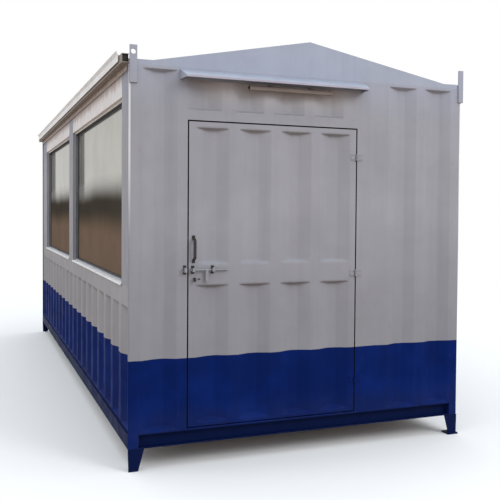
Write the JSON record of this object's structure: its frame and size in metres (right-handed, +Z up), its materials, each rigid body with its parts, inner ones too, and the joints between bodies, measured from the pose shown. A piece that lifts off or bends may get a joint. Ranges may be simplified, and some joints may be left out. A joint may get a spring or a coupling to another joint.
{
  "type": "portable bunkhouse cabin",
  "caption": "Rectangular pressed-steel cabin on a channel base with short legs, hinged end door with sliding bolt, rain hood, long side windows and a low ridged roof.",
  "frame": {"origin": "ground level under the middle of the whole cabin, hood and lugs included", "axes": "+Z up, +Y from the door end to the rear, +X to the right seen from the door end"},
  "size_m": [2.57, 5.785, 2.756],
  "materials": {
    "base": "satin",
    "steel": "satin",
    "trim": "satin",
    "skin": "satin",
    "deck": "satin",
    "lamp": "satin",
    "frame": "satin",
    "glass": "clear"
  },
  "bodies": {
    "cabin": {"base_channel_front": "base", "base_channel_left": "base", "base_channel_rear": "base", "base_channel_right": "base", "bolt_keeper": "steel", "corner_post_front_left": "trim", "corner_post_front_right": "trim", "corner_post_rear_left": "trim", "corner_post_rear_right": "trim", "door_frame": "trim", "door_hood": "trim", "fascia_left": "trim", "fascia_right": "trim", "floor_deck": "deck", "floor_joists": "base", "front_gable": "trim", "front_wall_left": "skin", "front_wall_over_door": "skin", "front_wall_right": "skin", "gutter_left": "trim", "gutter_right": "trim", "hinges_frame_side": "steel", "hood_lamp": "lamp", "leg_front_left": "base", "leg_front_right": "base", "leg_rear_left": "base", "leg_rear_right": "base", "lifting_lugs_front": "trim", "lifting_lugs_rear": "trim", "rear_gable": "trim", "rear_wall": "skin", "ridge_cap": "trim", "roof_left": "trim", "roof_right": "trim", "side_wall_over_windows_left": "skin", "side_wall_over_windows_right": "skin", "side_wall_piers_left": "skin", "side_wall_piers_right": "skin", "side_wall_under_windows_left": "skin", "side_wall_under_windows_right": "skin", "window_frames_left": "frame", "window_frames_right": "frame", "window_glass_left": "glass", "window_glass_right": "glass"},
    "door": {"door_leaf": "skin", "door_handle": "steel", "bolt_guides": "steel", "hinges_door_side": "steel", "hasp_staple": "steel"},
    "bolt": {"door_bolt": "steel"}
  },
  "joints": [
    {"name": "door_hinge", "type": "hinge", "parent": "cabin", "child": "door", "pos_m": [0.362, -2.7865, 1.196], "axis": [0, 0, 1], "range_deg": [0, 115]},
    {"name": "bolt_slide", "type": "slide", "parent": "door", "child": "bolt", "axis": [-1, 0, 0], "range_m": [0, 0.06]}
  ]
}
